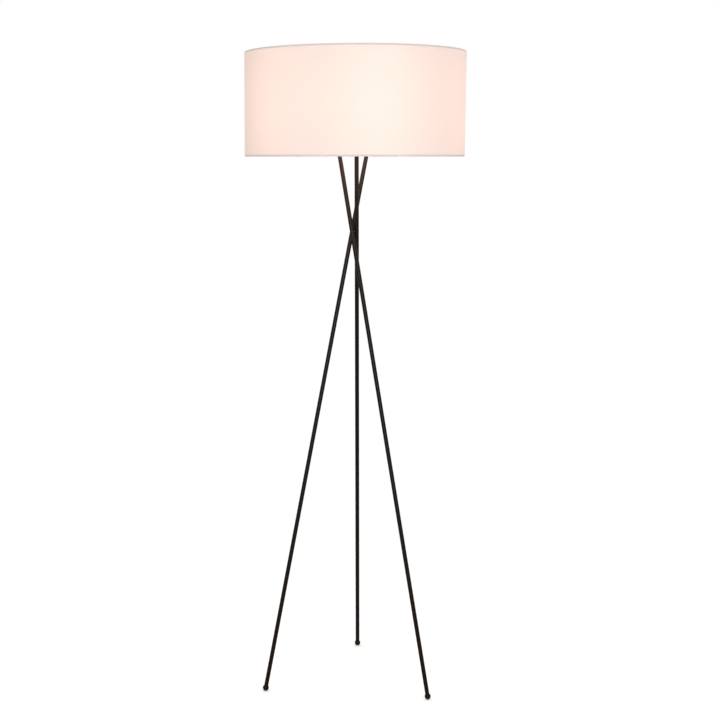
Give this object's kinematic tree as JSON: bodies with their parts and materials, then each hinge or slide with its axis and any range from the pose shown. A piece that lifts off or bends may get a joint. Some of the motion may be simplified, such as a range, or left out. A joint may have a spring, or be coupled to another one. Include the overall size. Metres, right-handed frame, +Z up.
{
  "type": "tripod floor lamp",
  "caption": "Floor lamp with a drum shade on slim dark rod legs that cross at a waist high under the shade and end in ball feet.",
  "frame": {"origin": "on the floor, on the lamp's own axis under the middle of the shade", "axes": "+Z up along the stem, +Y towards the rear leg's foot, +X to the right seen from the front"},
  "size_m": [0.559, 0.559, 1.6525],
  "materials": {
    "bronze_paint": "satin powder coat, very dark bronze",
    "hub_casting": "die-cast aluminium, satin powder coat, very dark bronze",
    "zinc_steel": "zinc plated",
    "frame_wire": "white dipped wire",
    "bronze_trim": "satin, dark bronze",
    "socket_metal": "satin lacquered brass",
    "moulded_black": "moulded phenolic and nylon",
    "thread_metal": "rolled thread, bright",
    "contact_brass": "bare",
    "tip_insulator": "black insulator with a soldered tip",
    "opal_glass": "opal, lit warm white",
    "wire_sleeve": "smooth insulation",
    "shade_cloth": "plain fine weave, off-white, lit from inside",
    "shade_backing": "translucent white sheet"
  },
  "bodies": {
    "stand": {"leg_rear": "bronze_paint", "leg_front_left": "bronze_paint", "leg_front_right": "bronze_paint", "foot_rear": "bronze_paint", "foot_front_left": "bronze_paint", "foot_front_right": "bronze_paint", "waist_core": "bronze_paint", "waist_screws": "bronze_paint", "hub": "hub_casting", "hub_cover": "hub_casting", "leg_plugs": "zinc_steel", "foot_studs": "zinc_steel", "leg_grip_screws": "zinc_steel", "hub_cover_screws": "zinc_steel", "stem_nuts": "zinc_steel", "socket_nipples": "zinc_steel", "nipple_nuts": "zinc_steel", "stem": "bronze_trim", "spider_seat": "bronze_trim", "finial": "bronze_trim", "socket_cap_rear": "socket_metal", "socket_cap_front_left": "socket_metal", "socket_cap_front_right": "socket_metal", "socket_shell_rear": "socket_metal", "socket_shell_front_left": "socket_metal", "socket_shell_front_right": "socket_metal", "socket_body_rear": "moulded_black", "socket_body_front_left": "moulded_black", "socket_body_front_right": "moulded_black", "cord_inlet_bush": "moulded_black", "terminal_block": "moulded_black", "screw_shell_rear": "thread_metal", "screw_shell_front_left": "thread_metal", "screw_shell_front_right": "thread_metal", "feed_wires": "wire_sleeve", "socket_leads": "wire_sleeve"},
    "shade": {"shade_top_ring": "frame_wire", "shade_bottom_ring": "frame_wire", "shade_spider": "frame_wire", "shade_fabric": "shade_cloth", "shade_liner": "shade_backing"},
    "bulb_lift_rear": {"bulb_tip_rear": "tip_insulator"},
    "bulb_rear": {"bulb_globe_rear": "opal_glass", "bulb_cap_rear": "thread_metal"},
    "contact_rear": {"centre_contact_rear": "contact_brass"},
    "knob_rear": {"switch_knob_rear": "moulded_black"},
    "bulb_lift_front_left": {"bulb_tip_front_left": "tip_insulator"},
    "bulb_front_left": {"bulb_globe_front_left": "opal_glass", "bulb_cap_front_left": "thread_metal"},
    "contact_front_left": {"centre_contact_front_left": "contact_brass"},
    "knob_front_left": {"switch_knob_front_left": "moulded_black"},
    "bulb_lift_front_right": {"bulb_tip_front_right": "tip_insulator"},
    "bulb_front_right": {"bulb_globe_front_right": "opal_glass", "bulb_cap_front_right": "thread_metal"},
    "contact_front_right": {"centre_contact_front_right": "contact_brass"},
    "knob_front_right": {"switch_knob_front_right": "moulded_black"}
  },
  "joints": [
    {"name": "shade_turn", "type": "hinge", "parent": "stand", "child": "shade", "pos_m": [0, 0, 1.6285], "axis": [0, 0, 1], "continuous": true},
    {"name": "bulb_rise_rear", "type": "slide", "parent": "stand", "child": "bulb_lift_rear", "axis": [0, 0, 1], "range_m": [0, 0.0146]},
    {"name": "bulb_unscrew_rear", "type": "hinge", "parent": "bulb_lift_rear", "child": "bulb_rear", "pos_m": [0, 0.046, 1.4558], "axis": [0, 0, 1], "range_deg": [0, 1440]},
    {"name": "contact_press_rear", "type": "slide", "parent": "stand", "child": "contact_rear", "axis": [0, 0, -1], "range_m": [0, 0.0008], "stiffness_N_per_m": 600, "springref_m": -0.002},
    {"name": "switch_turn_rear", "type": "hinge", "parent": "stand", "child": "knob_rear", "pos_m": [0, 0.062, 1.4408], "axis": [0, 1, 0], "continuous": true},
    {"name": "bulb_rise_front_left", "type": "slide", "parent": "stand", "child": "bulb_lift_front_left", "axis": [0, 0, 1], "range_m": [0, 0.0146]},
    {"name": "bulb_unscrew_front_left", "type": "hinge", "parent": "bulb_lift_front_left", "child": "bulb_front_left", "pos_m": [-0.03984, -0.023, 1.4558], "axis": [0, 0, 1], "range_deg": [0, 1440]},
    {"name": "contact_press_front_left", "type": "slide", "parent": "stand", "child": "contact_front_left", "axis": [0, 0, -1], "range_m": [0, 0.0008], "stiffness_N_per_m": 600, "springref_m": -0.002},
    {"name": "switch_turn_front_left", "type": "hinge", "parent": "stand", "child": "knob_front_left", "pos_m": [-0.05369, -0.031, 1.4408], "axis": [-0.866, -0.5, 0], "continuous": true},
    {"name": "bulb_rise_front_right", "type": "slide", "parent": "stand", "child": "bulb_lift_front_right", "axis": [0, 0, 1], "range_m": [0, 0.0146]},
    {"name": "bulb_unscrew_front_right", "type": "hinge", "parent": "bulb_lift_front_right", "child": "bulb_front_right", "pos_m": [0.03984, -0.023, 1.4558], "axis": [0, 0, 1], "range_deg": [0, 1440]},
    {"name": "contact_press_front_right", "type": "slide", "parent": "stand", "child": "contact_front_right", "axis": [0, 0, -1], "range_m": [0, 0.0008], "stiffness_N_per_m": 600, "springref_m": -0.002},
    {"name": "switch_turn_front_right", "type": "hinge", "parent": "stand", "child": "knob_front_right", "pos_m": [0.05369, -0.031, 1.4408], "axis": [0.866, -0.5, 0], "continuous": true}
  ],
  "couplings": [
    {"joint": "bulb_rise_rear", "follows": "bulb_unscrew_rear", "m_per_rad": 0.00057751},
    {"joint": "bulb_rise_front_left", "follows": "bulb_unscrew_front_left", "m_per_rad": 0.00057751},
    {"joint": "bulb_rise_front_right", "follows": "bulb_unscrew_front_right", "m_per_rad": 0.00057751}
  ]
}
